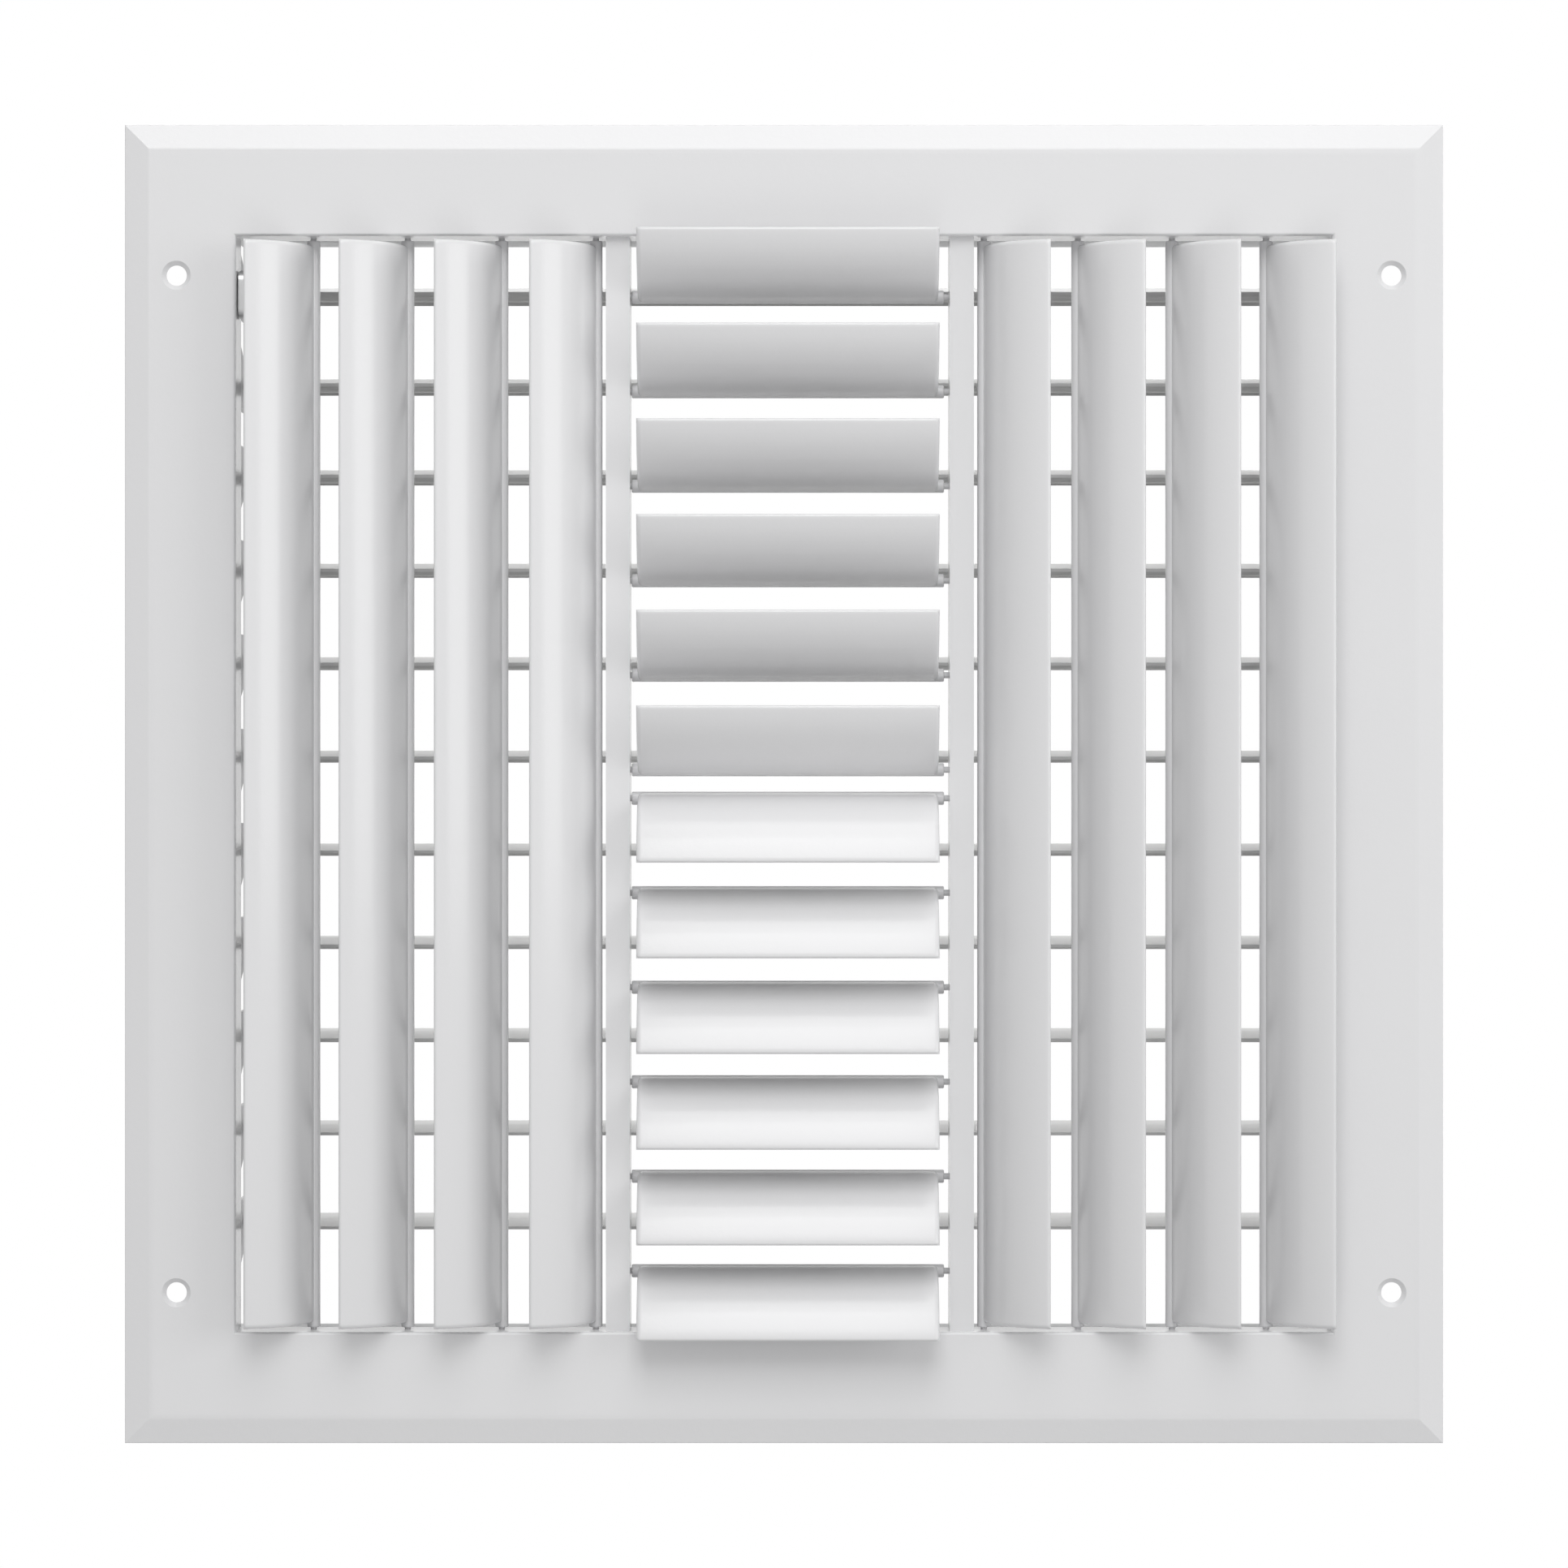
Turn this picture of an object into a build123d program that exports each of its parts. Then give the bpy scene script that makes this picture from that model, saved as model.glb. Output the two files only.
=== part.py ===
"""Four-way adjustable supply register with a multi-shutter damper.

X is to the right, Y into the wall and Z up. Y = 0 is the wall's face, and the blades look along -Y.
"""

import os
from math import cos, degrees, radians, sin

from build123d import *

# Face frame: an aluminium border, mitred and welded, with a neck that enters the duct
face_size = 298.45
border_width = 25.225
rim_height = 1.6
rim_round = 0.5
bevel_width = 6.1
bevel_height = 3.4
bevel_blend = 4.0
frame_wall = 1.4
opening_round = 0.8
neck_reach = 8.5
screw_inset_x = 11.775
screw_inset_z = 34.175
screw_hole_r = 2.3
screw_sink_r = 3.3
screw_sink_angle = 90

# Dividers: channels, open at the back, between the middle bay and the side bays
bay_centre_x = 1.33
bay_width = 72.5
divider_width = 5.45
divider_depth = 14.0
divider_setback = 2.5
divider_wall = 1.2

# Face blades: a curved vane on a bead, with a pin at each end
bead_y = 3.2
bead_r = 1.5
bead_end_gap = 0.5
pin_r = 0.7
pin_seat = 1.2
vane_wall = 1.3
vane_face_r = 22.0
vane_root_slope = 80
vane_tip_slope = 22
vane_root_overlap = 4
vane_root_a = 0.5
vane_root_b = 1.4
vane_end_round = 0.5
middle_count = 6
middle_half_gap = 3.25
middle_end_gap = 13.25
middle_shift = 0.45
middle_bead_gap = 0.75
middle_vane_gap = 2.15
side_count = 4
side_bead_gap = 2.43
side_end_gap = 15.67
side_vane_gap = 1.5

# Damper rails: sheet strips round the neck, with an ear for each shutter's pin
rail_wall = 1.0
rail_front_y = 1.0
side_rail_back_y = 56.0
side_rail_top_gap = 0.2
side_rail_bottom_gap = 1.3
top_rail_back_y = 39.0
bottom_rail_back_y = 32.0
window_front_y = 20.0
window_slant_y = 34.0
window_back_y = 50.0
ear_square = 6.4
ear_wide = 9.3
ear_narrow = 4.5

# Damper shutters: bent profiles on a pivot tube, with a crank pin at the left end
shutter_pivot_y = 42.0
shutter_front = 12.0
shutter_back = 12.5
shutter_wall = 0.8
shutter_lip = 0.68
shutter_slope_run = 7.2
shutter_rise = 1.4
shutter_tail_drop = 1.3
shutter_tube_r = 1.4
shutter_left_gap = 3.5
shutter_right_gap = 0.8
shutter_pin_r = 1.2
crank_throw = 10.5
crank_pin_r = 1.0
upper_shutters = 2
upper_shutter_gap = 9.8
upper_shutter_pitch = 21.2
lower_shutters = 9
lower_shutter_gap = 21.32

# Damper drive: a lever on the first shutter and a bar that links all the cranks
lever_wall = 1.4
lever_gap = 0.4
lever_arm_height = 5.0
lever_front_y = -2.0
finger_length = 9.0
finger_height = 10.4
finger_drop = 3.2
finger_round = 2.0
finger_slot_length = 5.0
finger_slot_width = 1.8
bar_wall = 1.0
bar_gap = 0.2
bar_front = 0.9
bar_back = 3.4
bar_ear_r = 2.1

# Rivets, and the clearances of everything that turns or passes through a hole
rivet_r = 1.2
rivet_head_r = 2.1
rivet_head_height = 0.4
rivet_end_gap = 6.0
rivet_inner_x = 24.0
rivet_y = 5.8
divider_rivet_r = 1.0
divider_rivet_head_r = 1.4
divider_rivet_head_height = 0.6
running_gap = 0.05

# Places that follow from the sizes above
face_half = face_size / 2
face_front_y = -(rim_height + bevel_height)
neck_in = face_half - border_width
opening_size = 2 * neck_in
neck_out = neck_in + frame_wall
rail_out = neck_out + rail_wall
side_rail_top = neck_in - side_rail_top_gap
side_rail_bottom = side_rail_bottom_gap - neck_in
rivet_end_x = neck_in - rivet_end_gap
rivet_offsets = (-rivet_end_x, -rivet_inner_x, rivet_inner_x, rivet_end_x)
screw_spacing_x = face_size - 2 * screw_inset_x
screw_spacing_z = face_size - 2 * screw_inset_z
divider_front_y = face_front_y + divider_setback
divider_offset = (bay_width + divider_width) / 2
side_bead_offset = (bay_width / 2) + divider_width + side_bead_gap
middle_pitch = (neck_in - middle_end_gap - middle_half_gap) / (middle_count - 1)
side_pitch = (neck_in - side_end_gap - side_bead_offset) / (side_count - 1)
middle_rows = [middle_half_gap + middle_pitch * i for i in range(middle_count)]
side_columns = [side_bead_offset + side_pitch * i for i in range(side_count)]
upper_rows = [neck_in - upper_shutter_gap - upper_shutter_pitch * i for i in range(upper_shutters)]
third_shutter_z = upper_rows[-1] - upper_shutter_pitch
lower_shutter_pitch = (third_shutter_z + neck_in - lower_shutter_gap) / (lower_shutters - 1)
lower_rows = [third_shutter_z - lower_shutter_pitch * i for i in range(lower_shutters)]
shutter_rows = upper_rows + lower_rows
shutter_left_x = -(neck_out - shutter_left_gap)
shutter_right_x = neck_out - shutter_right_gap
lever_x = shutter_left_x - lever_gap
bar_x = lever_x - lever_wall - bar_gap

os.makedirs("parts", exist_ok=True)


def save(part, name):
    """Label a finished piece and write it under its own name."""
    part.label = name
    export_step(part, f"parts/{name}.step")


# Face frame: the border's section goes once round the opening, and the corners come out mitred
with BuildPart() as face_frame:
    with BuildLine(Plane.XZ) as border_path:
        Polyline(
            (neck_in, 0),
            (neck_in, neck_in),
            (-neck_in, neck_in),
            (-neck_in, -neck_in),
            (neck_in, -neck_in),
            (neck_in, 0),
        )
    with BuildSketch(Plane.XY) as border_section:
        with BuildLine():
            bevel_top = (face_half - bevel_width, face_front_y)
            Polyline(
                (face_half, 0),
                (face_half, -rim_height),
                bevel_top,
                (neck_in, face_front_y),
                (neck_in, neck_reach),
                (neck_out, neck_reach),
                (neck_out, face_front_y + frame_wall),
                (bevel_top[0], face_front_y + frame_wall),
                (face_half - frame_wall, frame_wall - rim_height),
                (face_half - frame_wall, 0),
                close=True,
            )
        make_face()
        corners = border_section.vertices()
        fillet(corners.sort_by_distance((*bevel_top, 0))[0], bevel_blend)
        corners = border_section.vertices()
        fillet(corners.sort_by_distance((neck_in, face_front_y, 0))[0], opening_round)
        corners = border_section.vertices()
        fillet(corners.sort_by_distance((face_half, -rim_height, 0))[0], rim_round)
    sweep(path=border_path.wire(), transition=Transition.RIGHT)
    with Locations(Plane.XZ.offset(-face_front_y)):
        with GridLocations(screw_spacing_x, screw_spacing_z, 2, 2):
            CounterSinkHole(screw_hole_r, screw_sink_r, counter_sink_angle=screw_sink_angle)
    # Pin holes of the side blades and rivet holes of the dividers, in the neck's top and bottom
    with BuildSketch(Plane.XY.offset(-neck_out)):
        columns = [bay_centre_x + side * x for side in (-1, 1) for x in side_columns]
        with Locations(*[(x, bead_y) for x in columns]):
            Circle(pin_r + running_gap)
        with Locations(*[(bay_centre_x + side * divider_offset, bead_y) for side in (-1, 1)]):
            Circle(divider_rivet_r + running_gap)
        with Locations(*[(x, rivet_y) for x in rivet_offsets]):
            Circle(rivet_r + running_gap)
    extrude(amount=2 * neck_out, mode=Mode.SUBTRACT)
    with BuildSketch(Plane.YZ.offset(-neck_out)):
        with Locations(*[(rivet_y, z) for z in rivet_offsets]):
            Circle(rivet_r + running_gap)
    extrude(amount=2 * neck_out, mode=Mode.SUBTRACT)
save(face_frame.part, "face_frame")


# Dividers: the web faces the room, and each end is folded over and riveted to the neck
for name, side in (("divider_left", -1), ("divider_right", 1)):
    divider_x = bay_centre_x + side * divider_offset
    with BuildPart() as divider:
        with BuildSketch(Plane.XY.offset(-neck_in)):
            with Locations((divider_x, divider_front_y)):
                Rectangle(divider_width, divider_depth, align=(Align.CENTER, Align.MIN))
        extrude(amount=opening_size)
        with BuildSketch(Plane.XY.offset(divider_wall - neck_in)):
            with Locations((divider_x, divider_front_y + divider_wall)):
                Rectangle(divider_width - 2 * divider_wall, divider_depth, align=(Align.CENTER, Align.MIN))
        extrude(amount=opening_size - 2 * divider_wall, mode=Mode.SUBTRACT)
        with BuildSketch(Plane.YZ.offset(divider_x)):
            with Locations(*[(bead_y, end * z) for end in (-1, 1) for z in middle_rows]):
                Circle(pin_r + running_gap)
        extrude(amount=-side * divider_width, mode=Mode.SUBTRACT)
        with BuildSketch(Plane.XY.offset(-neck_in)):
            with Locations((divider_x, bead_y)):
                Circle(divider_rivet_r + running_gap)
        extrude(amount=opening_size, mode=Mode.SUBTRACT)
    save(divider.part, name)


# Face blades: on each blade's own plane, x points from the bead to the tip and y to the room
vane_mid_r = vane_face_r - vane_wall / 2
vane_centre_a = vane_root_a + vane_face_r * sin(radians(vane_root_slope))
vane_centre_b = vane_root_b - vane_face_r * cos(radians(vane_root_slope))
vane_tip_angle = 90 + vane_tip_slope + degrees(vane_wall / 2 / vane_mid_r)
vane_root_angle = 90 + vane_root_slope + vane_root_overlap


def make_face_blade(name, bead, vane_half, bead_half, pin_half):
    """A curved vane with rounded front corners, the bead along its foot and the two pins."""
    with BuildPart() as blade:
        with BuildSketch(bead.offset(-vane_half)):
            with BuildLine(mode=Mode.PRIVATE) as vane_line:
                CenterArc(
                    (vane_centre_a, vane_centre_b),
                    vane_mid_r,
                    vane_tip_angle,
                    vane_root_angle - vane_tip_angle,
                )
            SlotArc(vane_line.edge(), vane_wall)
        extrude(amount=2 * vane_half)
        end_arcs = blade.edges().filter_by(GeomType.CIRCLE)
        fillet(end_arcs.filter_by(lambda edge: edge.radius > vane_mid_r), vane_end_round)
        with BuildSketch(bead.offset(-bead_half)):
            Circle(bead_r)
        extrude(amount=2 * bead_half)
        with BuildSketch(bead.offset(-pin_half)):
            Circle(pin_r)
        extrude(amount=2 * pin_half)
    save(blade.part, name)


middle_half = bay_width / 2
for name, up in (("upper_blade", 1), ("lower_blade", -1)):
    for number, row in enumerate(middle_rows, 1):
        bead_origin = (bay_centre_x - middle_shift, bead_y, up * row)
        make_face_blade(
            f"{name}_{number}",
            Plane(origin=bead_origin, x_dir=(0, 0, up), z_dir=(up, 0, 0)),
            middle_half - middle_vane_gap,
            middle_half - middle_bead_gap,
            middle_half + middle_shift + pin_seat,
        )

for name, side in (("left_blade", -1), ("right_blade", 1)):
    for number, column in enumerate(side_columns, 1):
        bead_origin = (bay_centre_x + side * column, bead_y, 0)
        make_face_blade(
            f"{name}_{number}",
            Plane(origin=bead_origin, x_dir=(side, 0, 0), z_dir=(0, 0, -side)),
            neck_in - side_vane_gap,
            neck_in - bead_end_gap,
            neck_in + pin_seat,
        )


# Side rails: a front strip on the neck, and ears between punched windows for the shutters' pins
def ear_edge(pivot_z, side):
    """Points along one side of an ear, front to back: side is 1 above the pin and -1 below."""
    slanted_side = 1 if pivot_z > third_shutter_z else -1
    if side == slanted_side:
        return [
            (window_front_y, pivot_z + side * ear_wide),
            (window_slant_y, pivot_z + side * ear_narrow),
            (window_back_y, pivot_z + side * ear_narrow),
        ]
    return [
        (window_front_y, pivot_z + side * ear_square),
        (window_back_y, pivot_z + side * ear_square),
    ]


for name, inner_x in (("side_rail_left", -rail_out), ("side_rail_right", neck_out)):
    with BuildPart() as rail:
        with BuildSketch(Plane.YZ.offset(inner_x)):
            top_ear = ear_edge(shutter_rows[0], 1)
            bottom_ear = ear_edge(shutter_rows[-1], -1)
            with BuildLine():
                Polyline(
                    (rail_front_y, side_rail_top),
                    (window_front_y, side_rail_top),
                    *top_ear,
                    (side_rail_back_y, top_ear[-1][1]),
                    (side_rail_back_y, bottom_ear[-1][1]),
                    *reversed(bottom_ear),
                    (window_front_y, side_rail_bottom),
                    (rail_front_y, side_rail_bottom),
                    close=True,
                )
            make_face()
            for above, below in zip(shutter_rows, shutter_rows[1:]):
                with BuildLine():
                    Polyline(*ear_edge(above, -1), *reversed(ear_edge(below, 1)), close=True)
                make_face(mode=Mode.SUBTRACT)
            with Locations(*[(shutter_pivot_y, z) for z in shutter_rows]):
                Circle(shutter_pin_r + running_gap, mode=Mode.SUBTRACT)
            with Locations(*[(rivet_y, z) for z in rivet_offsets]):
                Circle(rivet_r + running_gap, mode=Mode.SUBTRACT)
        extrude(amount=rail_wall)
    save(rail.part, name)


# Top and bottom rails: plain strips on the neck
for name, under_z, back_y in (
    ("top_rail", neck_out, top_rail_back_y),
    ("bottom_rail", -rail_out, bottom_rail_back_y),
):
    with BuildPart() as rail:
        with BuildSketch(Plane.XY.offset(under_z)):
            with Locations((0, rail_front_y)):
                Rectangle(2 * rail_out, back_y - rail_front_y, align=(Align.CENTER, Align.MIN))
            with Locations(*[(x, rivet_y) for x in rivet_offsets]):
                Circle(rivet_r + running_gap, mode=Mode.SUBTRACT)
        extrude(amount=rail_wall)
    save(rail.part, name)


# Rail rivets: flush inside the neck, with a low head on each rail
with BuildPart() as rail_rivets:
    for turn in (0, 90, 180, 270):
        wall = Plane.XY.rotated((0, turn, 0))
        with BuildSketch(wall.offset(neck_in)):
            with Locations(*[(x, rivet_y) for x in rivet_offsets]):
                Circle(rivet_r)
        extrude(amount=frame_wall + rail_wall)
        with BuildSketch(wall.offset(rail_out)):
            with Locations(*[(x, rivet_y) for x in rivet_offsets]):
                Circle(rivet_head_r)
        extrude(amount=rivet_head_height)
save(rail_rivets.part, "rail_rivets")


# Divider rivets: a small head inside each channel's folded end, flush outside the neck
with BuildPart() as divider_rivets:
    for up in (-1, 1):
        places = [(bay_centre_x + side * divider_offset, bead_y) for side in (-1, 1)]
        with BuildSketch(Plane.XY.offset(up * neck_out)):
            with Locations(*places):
                Circle(divider_rivet_r)
        extrude(amount=-up * (frame_wall + divider_wall))
        with BuildSketch(Plane.XY.offset(up * (neck_in - divider_wall))):
            with Locations(*places):
                Circle(divider_rivet_head_r)
        extrude(amount=-up * divider_rivet_head_height)
save(divider_rivets.part, "divider_rivets")


# Shutters: a sloped front, a web and a turned-down tail round a pivot tube, all on one section
for number, row in enumerate(shutter_rows, 1):
    with BuildPart() as shutter:
        section = Plane(origin=(shutter_left_x, shutter_pivot_y, row), x_dir=(0, 1, 0), z_dir=(1, 0, 0))
        ridge = shutter_slope_run - shutter_front
        web_under = shutter_rise - shutter_wall
        with BuildSketch(section):
            with BuildLine():
                Polyline(
                    (-shutter_front, 0),
                    (ridge, shutter_rise),
                    (shutter_back, shutter_rise),
                    (shutter_back, -shutter_tail_drop),
                    (shutter_back - shutter_wall, -shutter_tail_drop),
                    (shutter_back - shutter_wall, web_under),
                    (ridge, web_under),
                    (-shutter_front, -shutter_lip),
                    close=True,
                )
            make_face()
            Circle(shutter_tube_r)
        extrude(amount=shutter_right_x - shutter_left_x)
        with BuildSketch(section.offset(-rail_out - shutter_left_x)):
            Circle(shutter_pin_r)
        extrude(amount=2 * rail_out)
        with BuildSketch(section.offset(bar_x - bar_wall - shutter_left_x)):
            with Locations((crank_throw, 0)):
                Circle(crank_pin_r)
        extrude(amount=shutter_left_x + bar_wall - bar_x + shutter_wall)
    save(shutter.part, f"damper_blade_{number:02d}")


# Lever: it sits on the first shutter's pivot and crank pins, and its finger end reaches the face
with BuildPart() as lever:
    first_row = shutter_rows[0]
    arm_front_y = lever_front_y + finger_length / 2
    arm_back_y = shutter_pivot_y + crank_throw
    with BuildSketch(Plane.YZ.offset(lever_x - lever_wall)):
        with Locations(((arm_front_y + arm_back_y) / 2, first_row)):
            SlotCenterToCenter(arm_back_y - arm_front_y, lever_arm_height)
        with Locations((arm_front_y, first_row - finger_drop)):
            RectangleRounded(finger_length, finger_height, finger_round)
            SlotOverall(finger_slot_length, finger_slot_width, rotation=90, mode=Mode.SUBTRACT)
        with Locations((shutter_pivot_y, first_row)):
            Circle(shutter_pin_r + running_gap, mode=Mode.SUBTRACT)
        with Locations((arm_back_y, first_row)):
            Circle(crank_pin_r + running_gap, mode=Mode.SUBTRACT)
    extrude(amount=lever_wall)
save(lever.part, "damper_lever")


# Link bar: a strip behind the pivots, with a round ear at each crank pin
with BuildPart() as link_bar:
    crank_y = shutter_pivot_y + crank_throw
    bar_height = shutter_rows[0] - shutter_rows[-1]
    with BuildSketch(Plane.YZ.offset(bar_x - bar_wall)):
        with Locations((crank_y - bar_front, (shutter_rows[0] + shutter_rows[-1]) / 2)):
            Rectangle(bar_front + bar_back, bar_height, align=(Align.MIN, Align.CENTER))
        with Locations(*[(crank_y, z) for z in shutter_rows]):
            Circle(bar_ear_r)
            Circle(crank_pin_r + running_gap, mode=Mode.SUBTRACT)
    extrude(amount=bar_wall)
save(link_bar.part, "link_bar")
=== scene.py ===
"""White four-way supply register with its damper, in front of a white background."""

import math

import bmesh
import bpy
from mathutils import Matrix, Vector


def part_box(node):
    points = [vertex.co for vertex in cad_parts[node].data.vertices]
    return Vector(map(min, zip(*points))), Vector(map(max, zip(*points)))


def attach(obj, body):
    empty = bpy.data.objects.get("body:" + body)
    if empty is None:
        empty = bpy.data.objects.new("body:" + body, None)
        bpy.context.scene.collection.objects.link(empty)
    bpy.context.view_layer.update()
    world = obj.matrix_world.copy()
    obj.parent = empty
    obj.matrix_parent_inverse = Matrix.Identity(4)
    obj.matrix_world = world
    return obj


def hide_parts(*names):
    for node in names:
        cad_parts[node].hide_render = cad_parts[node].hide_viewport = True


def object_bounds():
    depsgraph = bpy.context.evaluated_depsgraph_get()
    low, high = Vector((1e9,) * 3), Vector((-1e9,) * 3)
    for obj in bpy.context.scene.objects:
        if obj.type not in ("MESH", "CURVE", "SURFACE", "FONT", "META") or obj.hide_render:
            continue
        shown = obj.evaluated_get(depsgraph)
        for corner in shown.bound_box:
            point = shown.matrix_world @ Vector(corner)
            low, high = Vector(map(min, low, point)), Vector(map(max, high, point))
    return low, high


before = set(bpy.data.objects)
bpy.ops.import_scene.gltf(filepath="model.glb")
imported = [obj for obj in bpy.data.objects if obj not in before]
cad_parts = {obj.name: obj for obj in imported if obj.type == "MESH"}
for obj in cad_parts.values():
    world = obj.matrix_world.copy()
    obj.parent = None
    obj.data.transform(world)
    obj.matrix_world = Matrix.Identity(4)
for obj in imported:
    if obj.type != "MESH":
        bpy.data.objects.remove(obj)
cad_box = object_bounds()


# Face frame: an aluminium border, mitred, welded and ground smooth at the corners, with a neck that
# enters the duct. It is sprayed with white powder and baked, which leaves a faint orange peel.
class Shade:
    """A value in a material's nodes: sums on it add Math nodes, and node() adds any other node."""

    def __init__(self, tree, socket=None):
        self.tree = tree
        self.socket = socket

    def node(self, kind, settings, inputs, output=0):
        made = self.tree.nodes.new(kind)
        for name, value in settings.items():
            setattr(made, name, value)
        for key, value in inputs.items():
            if isinstance(value, Shade):
                self.tree.links.new(value.socket, made.inputs[key])
            else:
                made.inputs[key].default_value = value
        return Shade(self.tree, made.outputs[output])

    def __add__(self, other):
        return self.node("ShaderNodeMath", {"operation": "ADD"}, {0: self, 1: other})

    def __mul__(self, other):
        return self.node("ShaderNodeMath", {"operation": "MULTIPLY"}, {0: self, 1: other})

    __radd__ = __add__
    __rmul__ = __mul__


def start_finish(name):
    """A new material with nothing in it yet, and the place on the piece that its patterns read."""
    material = bpy.data.materials.new(name)
    material.use_nodes = True
    material.node_tree.nodes.clear()
    place = Shade(material.node_tree).node("ShaderNodeTexCoord", {}, {}, "Object")
    return material, place


def end_finish(material, surface):
    """Join the finished surface to the material's output."""
    output = material.node_tree.nodes.new("ShaderNodeOutputMaterial")
    material.node_tree.links.new(surface.socket, output.inputs["Surface"])
    return material


def coat_white():
    """Baked white powder: an even white, a semi-gloss skin and an orange peel a millimetre wide."""
    material, place = start_finish("white_powder_coat")
    cloud = place.node("ShaderNodeTexNoise", {}, {"Vector": place, "Scale": 9.0, "Detail": 3.0})
    peel = place.node("ShaderNodeTexNoise", {}, {"Vector": place, "Scale": 700.0, "Detail": 2.0})
    grain = place.node("ShaderNodeTexNoise", {}, {"Vector": place, "Scale": 3800.0, "Detail": 1.0})
    colour = place.node(
        "ShaderNodeMix",
        {"data_type": "RGBA"},
        {0: cloud, 6: (0.835, 0.835, 0.845, 1), 7: (0.872, 0.871, 0.878, 1)},
        2,
    )
    relief = peel + 0.3 * grain
    skin = place.node("ShaderNodeBump", {}, {"Strength": 0.12, "Distance": 0.0002, "Height": relief})
    surface = place.node(
        "ShaderNodeBsdfPrincipled",
        {},
        {
            "Base Color": colour,
            "Roughness": 0.15 + 0.1 * grain,
            "IOR": 1.5,
            "Normal": skin,
        },
    )
    return end_finish(material, surface)


def paint(material, names):
    """Give these pieces of the frame the finish."""
    for name in names:
        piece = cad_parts[name]
        piece.data.materials.clear()
        piece.data.materials.append(material)


white_coat = coat_white()
same_place = 1e-6
face_level = -0.005
rim_reach = 0.001
rim_level = -0.001
shoulder_reach = 0.0073
shoulder_level = -0.0044
bevel_share = 0.46
border_fold = math.radians(30)


def add_coated(mesh, node, body, fold):
    """A coated piece from the mesh, in place of the node. Edges that turn more than the fold are crisp."""
    for face in mesh.faces:
        face.smooth = True
    for edge in mesh.edges:
        edge.smooth = edge.calc_face_angle(0) < fold
    data = bpy.data.meshes.new(node + "_coated")
    mesh.to_mesh(data)
    mesh.free()
    piece = bpy.data.objects.new(node + "_coated", data)
    bpy.context.collection.objects.link(piece)
    data.materials.append(white_coat)
    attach(piece, body)
    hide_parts(node)
    return piece


def lay_bevel():
    """The border with its bevel laid flatter: the front skin at the rim comes up towards the face."""
    mesh = bmesh.new()
    mesh.from_mesh(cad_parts["face_frame"].data)
    bmesh.ops.remove_doubles(mesh, verts=mesh.verts[:], dist=same_place)
    border_half = cad_box[1][0]
    for vert in mesh.verts:
        inset = border_half - max(abs(vert.co.x), abs(vert.co.z))
        at_rim = inset < rim_reach and vert.co.y < rim_level
        at_shoulder = inset < shoulder_reach and vert.co.y < shoulder_level
        if at_rim or at_shoulder:
            vert.co.y = face_level + bevel_share * (vert.co.y - face_level)
    border = add_coated(mesh, "face_frame", "root", border_fold)
    shading = border.modifiers.new("even_shading", "WEIGHTED_NORMAL")
    shading.keep_sharp = True


lay_bevel()


# Dividers: aluminium channels between the middle bay and the side bays, riveted to the neck at both
# ends and coated with the frame.
paint(white_coat, ["divider_left", "divider_right"])


# Face blades: extruded aluminium vanes, each on a bead with a pin at either end, coated white. They
# turn one by one: six up and six down in the middle bay, four in each side bay. The sawn ends are
# rounded towards the room, so no sharp corner meets a hand.
bead_depth = 0.0032
bead_radius = 0.0015
pin_radius = 0.0007
vane_wall = 0.0013
root_slope = math.radians(85)
tip_round = 0.0005
end_round = 0.0011
bead_edge_round = 0.0003
pin_edge_round = 0.0002
blade_fold = math.radians(35)


def level(edge):
    """Whether the edge lies across the blade, and not along it."""
    return abs(edge.verts[0].co.z - edge.verts[1].co.z) < same_place


def round_edges(mesh, edges, size, segments):
    """Round these edges off."""
    bmesh.ops.bevel(
        mesh, geom=edges, offset=size, affect="EDGES", segments=segments, profile=0.5, material=-1
    )


def add_rod(mesh, radius, half, edge_round):
    """A round bar along Z through the bead's axis, with its end edges rounded."""
    rod = bmesh.ops.create_cone(
        mesh, cap_ends=True, segments=32, radius1=radius, radius2=radius, depth=2 * half
    )
    rims = [edge for edge in mesh.edges if edge.verts[0] in rod["verts"] and level(edge)]
    round_edges(mesh, rims, edge_round, 3)


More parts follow.
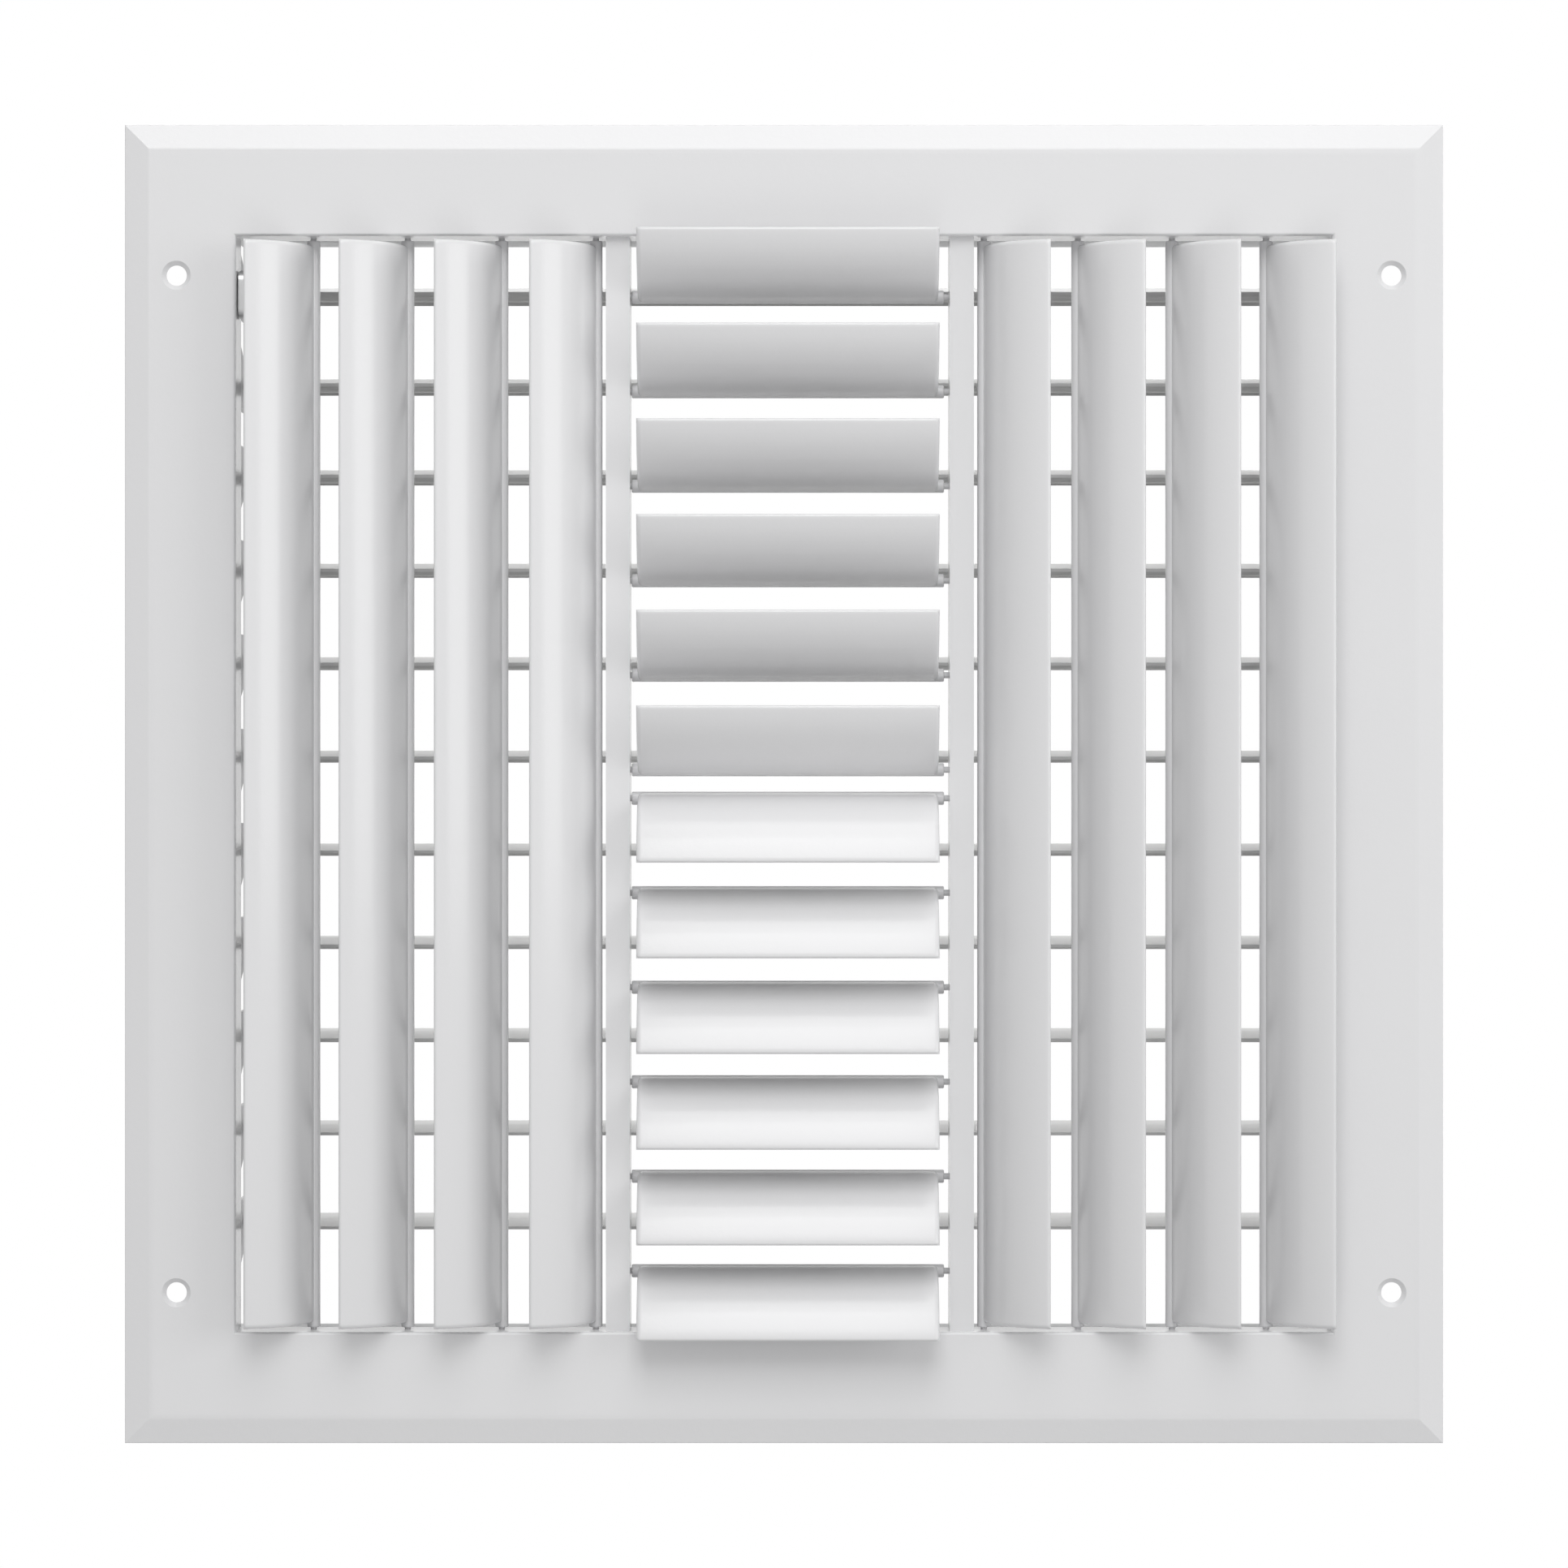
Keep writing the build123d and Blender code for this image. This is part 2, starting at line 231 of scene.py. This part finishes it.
def make_blade(name, bead, tip_way, vane, bead_half, pin_half):
    """The blade for the node of that name, from its bead's middle and the way that its tip points."""
    vane_radius, tip_slope = vane["radius"], vane["tip_slope"]
    vane_half = bead_half - vane["setback"]
    vane_centre = vane["root"] + vane_radius * Vector((math.sin(root_slope), -math.cos(root_slope), 0))
    mesh = bmesh.new()
    turn = math.pi / 2 + root_slope
    ray = Vector((math.cos(turn), math.sin(turn), 0))
    inner = mesh.verts.new(vane_centre + (vane_radius - vane_wall) * ray - Vector((0, 0, vane_half)))
    outer = mesh.verts.new(vane_centre + vane_radius * ray - Vector((0, 0, vane_half)))
    bmesh.ops.spin(
        mesh,
        geom=[inner, outer, mesh.edges.new((inner, outer))],
        cent=vane_centre,
        axis=(0, 0, 1),
        angle=tip_slope - root_slope,
        steps=24,
    )
    walls = bmesh.ops.extrude_face_region(mesh, geom=mesh.faces[:], use_keep_orig=True)
    moved = [part for part in walls["geom"] if isinstance(part, bmesh.types.BMVert)]
    bmesh.ops.translate(mesh, vec=(0, 0, 2 * vane_half), verts=moved)
    bmesh.ops.recalc_face_normals(mesh, faces=mesh.faces[:])
    tip_edge = max(v.co.x for v in mesh.verts) - vane_wall / 2
    tip_points = {v for v in mesh.verts if v.co.x > tip_edge}
    tips = [e for e in mesh.edges if tip_points.issuperset(e.verts) and not level(e)]
    round_edges(mesh, tips, tip_round, 3)
    front_reach = vane_radius - vane_wall / 2
    front = {v for v in mesh.verts if (v.co.xy - vane_centre.xy).length > front_reach}
    ends = [e for e in mesh.edges if front.issuperset(e.verts) and level(e)]
    round_edges(mesh, ends, end_round, 4)
    add_rod(mesh, bead_radius, bead_half, bead_edge_round)
    add_rod(mesh, pin_radius, pin_half, pin_edge_round)
    room_way = Vector((0, -1, 0))
    along = tip_way.cross(room_way)
    bmesh.ops.transform(
        mesh,
        matrix=Matrix.Translation(bead) @ Matrix((tip_way, room_way, along)).transposed().to_4x4(),
        verts=mesh.verts[:],
    )
    add_coated(mesh, name, name, blade_fold)


middle_vane = {
    "root": Vector((-0.00135, 0.0001, 0)),
    "radius": 0.0198,
    "tip_slope": math.radians(12),
    "setback": 0.0014,
    "pin": 0.0024,
}
side_vane = {
    "root": Vector((-0.0003, 0.00015, 0)),
    "radius": 0.02,
    "tip_slope": math.radians(15.6),
    "setback": 0.001,
    "pin": 0.0017,
}
blade_rows = {
    "upper": (middle_vane, Vector((0, 0, 1)), 6),
    "lower": (middle_vane, Vector((0, 0, -1)), 6),
    "left": (side_vane, Vector((-1, 0, 0)), 4),
    "right": (side_vane, Vector((1, 0, 0)), 4),
}
for way, (vane, tip_way, count) in blade_rows.items():
    for number in range(1, count + 1):
        low, high = (Vector(corner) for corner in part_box(f"{way}_blade_{number}"))
        pin_half = max((high - low).x, (high - low).z) / 2
        bead = (low + high) / 2
        bead.y = bead_depth
        foot = high if min(tip_way) < 0 else low
        if tip_way.x:
            bead.x = foot.x + tip_way.x * bead_radius
        else:
            bead.z = foot.z + tip_way.z * bead_radius
        make_blade(f"{way}_blade_{number}", bead, tip_way, vane, pin_half - vane["pin"], pin_half)


# Damper rails: strips of galvanised sheet round the neck, with punched windows and ears. The zinc
# froze in flat crystals, which show as patches a few millimetres wide.
def galvanise():
    """Hot-dip zinc on sheet: grey metal with crystal patches that differ in tone and gloss."""
    material, place = start_finish("galvanised_sheet")
    crystal = place.node("ShaderNodeTexVoronoi", {}, {"Vector": place, "Scale": 190.0}, "Color")
    tone = crystal.node("ShaderNodeSeparateColor", {}, {"Color": crystal}, "Red")
    stain = place.node("ShaderNodeTexNoise", {}, {"Vector": place, "Scale": 40.0, "Detail": 4.0})
    patch = 0.7 * tone + 0.3 * stain
    colour = place.node(
        "ShaderNodeMix",
        {"data_type": "RGBA"},
        {0: patch, 6: (0.52, 0.525, 0.53, 1), 7: (0.68, 0.685, 0.69, 1)},
        2,
    )
    skin = place.node("ShaderNodeBump", {}, {"Strength": 0.08, "Distance": 0.0002, "Height": stain})
    surface = place.node(
        "ShaderNodeBsdfPrincipled",
        {},
        {"Base Color": colour, "Metallic": 0.55, "Roughness": 0.42 + 0.18 * tone, "Normal": skin},
    )
    return end_finish(material, surface)


paint(galvanise(), ["side_rail_left", "side_rail_right", "top_rail", "bottom_rail"])


# Shutters: aluminium profiles rolled from strip, pale and dull, with fine drawing lines along them.
# Each has a pivot tube, pins in the rails' ears and a crank pin for the link bar.
def draw_aluminium():
    """Rolled aluminium strip: lines along X, and a dull skin that scatters most of the light."""
    material, place = start_finish("rolled_aluminium")
    along = place.node("ShaderNodeMapping", {}, {"Vector": place, "Scale": (6.0, 1500.0, 1500.0)})
    line = place.node("ShaderNodeTexNoise", {}, {"Vector": along, "Scale": 1.0, "Detail": 3.0})
    cloud = place.node("ShaderNodeTexNoise", {}, {"Vector": place, "Scale": 30.0, "Detail": 3.0})
    colour = place.node(
        "ShaderNodeMix",
        {"data_type": "RGBA"},
        {0: 0.6 * line + 0.4 * cloud, 6: (0.64, 0.64, 0.635, 1), 7: (0.76, 0.76, 0.755, 1)},
        2,
    )
    skin = place.node("ShaderNodeBump", {}, {"Strength": 0.1, "Distance": 0.0001, "Height": line})
    surface = place.node(
        "ShaderNodeBsdfPrincipled",
        {},
        {"Base Color": colour, "Metallic": 0.3, "Roughness": 0.4 + 0.2 * line, "Normal": skin},
    )
    return end_finish(material, surface)


paint(draw_aluminium(), [f"damper_blade_{number:02d}" for number in range(1, 12)])


# Damper drive and rivets: a stamped lever on the first shutter, a bar that links the cranks, and the
# rivets of rails and dividers, all steel with bright zinc plating.
def plate_zinc():
    """Bright zinc plating: a pale metal with faint clouds and fine scratches."""
    material, place = start_finish("zinc_plating")
    cloud = place.node("ShaderNodeTexNoise", {}, {"Vector": place, "Scale": 120.0, "Detail": 4.0})
    scratch = place.node("ShaderNodeTexNoise", {}, {"Vector": place, "Scale": 2600.0, "Detail": 2.0})
    colour = place.node(
        "ShaderNodeMix",
        {"data_type": "RGBA"},
        {0: cloud, 6: (0.6, 0.6, 0.6, 1), 7: (0.74, 0.745, 0.75, 1)},
        2,
    )
    surface = place.node(
        "ShaderNodeBsdfPrincipled",
        {},
        {"Base Color": colour, "Metallic": 0.7, "Roughness": 0.28 + 0.2 * scratch},
    )
    return end_finish(material, surface)


paint(plate_zinc(), ["damper_lever", "link_bar", "rail_rivets", "divider_rivets"])


# Room: a pale floor below the register, which fades to white further off, and a background that is
# white to the camera and in reflections, while all else sees the softer light of a white studio.
floor_height = -0.3
floor_size = 6.0
fade_start = 0.4
fade_end = 0.95
bpy.ops.mesh.primitive_plane_add(size=floor_size)
floor = bpy.context.object
floor.name = "floor"
for corner in floor.data.vertices:
    corner.co.z = floor_height
floor_paint, floor_place = start_finish("floor_paint")
floor_tone = floor_place.node("ShaderNodeTexNoise", {}, {"Vector": floor_place, "Scale": 3.0})
floor_surface = floor_place.node(
    "ShaderNodeBsdfPrincipled",
    {},
    {"Base Color": (0.86, 0.86, 0.86, 1), "Roughness": 0.8 + 0.1 * floor_tone},
)
floor_way = floor_place.node("ShaderNodeVectorMath", {"operation": "LENGTH"}, {0: floor_place}, "Value")
floor_fade = floor_way.node(
    "ShaderNodeMapRange",
    {"interpolation_type": "SMOOTHSTEP"},
    {"Value": floor_way, "From Min": fade_start, "From Max": fade_end},
)
floor_white = floor_way.node("ShaderNodeEmission", {}, {"Color": (1, 1, 1, 1), "Strength": 1.0})
floor_seen = floor_way.node("ShaderNodeMixShader", {}, {0: floor_fade, 1: floor_surface, 2: floor_white})
floor.data.materials.append(end_finish(floor_paint, floor_seen))


def ray_seen(tree):
    """1 for the rays that show something to the camera, straight or through gloss or glass, else 0."""
    rays = tree.nodes.new("ShaderNodeLightPath")
    straight = Shade(tree, rays.outputs["Is Camera Ray"])
    gloss = Shade(tree, rays.outputs["Is Glossy Ray"])
    glass = Shade(tree, rays.outputs["Is Transmission Ray"])
    return straight + gloss + glass


# The studio lights the register from all round, a little less from behind, and five soft boxes add to
# that: almost overhead, high and low in front, at the right and high behind. The floor lets light pass.
floor.visible_shadow = False
floor.visible_diffuse = False
studio_strength = 0.42
behind_share = 0.5
studio = bpy.data.worlds.new("white_studio")
bpy.context.scene.world = studio
studio.use_nodes = True
studio.node_tree.nodes.clear()
studio_seen = ray_seen(studio.node_tree)
white = studio_seen.node("ShaderNodeBackground", {}, {"Color": (1, 1, 1, 1), "Strength": 1.0})
sky_way = studio_seen.node("ShaderNodeTexCoord", {}, {}, "Generated")
sky_depth = sky_way.node("ShaderNodeSeparateXYZ", {}, {"Vector": sky_way}, "Y")
sky_share = sky_depth.node(
    "ShaderNodeMapRange",
    {"interpolation_type": "SMOOTHSTEP"},
    {"Value": sky_depth, "From Min": -0.3, "From Max": 0.3, "To Min": 1.0, "To Max": behind_share},
)
sky_strength = studio_strength * sky_share
soft = sky_way.node("ShaderNodeBackground", {}, {"Color": (1, 1, 1, 1), "Strength": sky_strength})
sky = studio_seen.node("ShaderNodeMixShader", {}, {0: studio_seen, 1: soft, 2: white})
studio_output = studio.node_tree.nodes.new("ShaderNodeOutputWorld")
studio.node_tree.links.new(sky.socket, studio_output.inputs["Surface"])


def add_soft_box(name, place, power):
    """A square soft box that looks at the middle of the register."""
    lamp = bpy.data.lights.new(name, "AREA")
    lamp.shape = "SQUARE"
    lamp.size = 0.9
    lamp.energy = power
    holder = bpy.data.objects.new(name, lamp)
    bpy.context.collection.objects.link(holder)
    holder.location = place
    across, depth, height = place
    tilt = math.atan2(math.hypot(across, depth), height)
    holder.rotation_euler = (tilt, 0, math.atan2(across, -depth))


add_soft_box("overhead_soft_box", (0.1, -0.7, 1.6), 5)
add_soft_box("front_soft_box", (0, -1.3, 1.1), 8.5)
add_soft_box("right_soft_box", (1.5, -0.9, 0.3), 5.5)
add_soft_box("low_soft_box", (0, -1.3, -1.1), 2.2)
add_soft_box("back_soft_box", (0, 1.2, 1.2), 8)

# Camera: level with the centre, square on to the face, with a long lens.
camera_distance = 1.3347
lens = bpy.data.cameras.new("camera")
lens.lens = 135
lens.sensor_width = 36
camera = bpy.data.objects.new("camera", lens)
bpy.context.collection.objects.link(camera)
camera.location = (0, -camera_distance, 0)
camera.rotation_euler = (math.pi / 2, 0, 0)
bpy.context.scene.camera = camera
bpy.context.scene.view_settings.view_transform = "Standard"
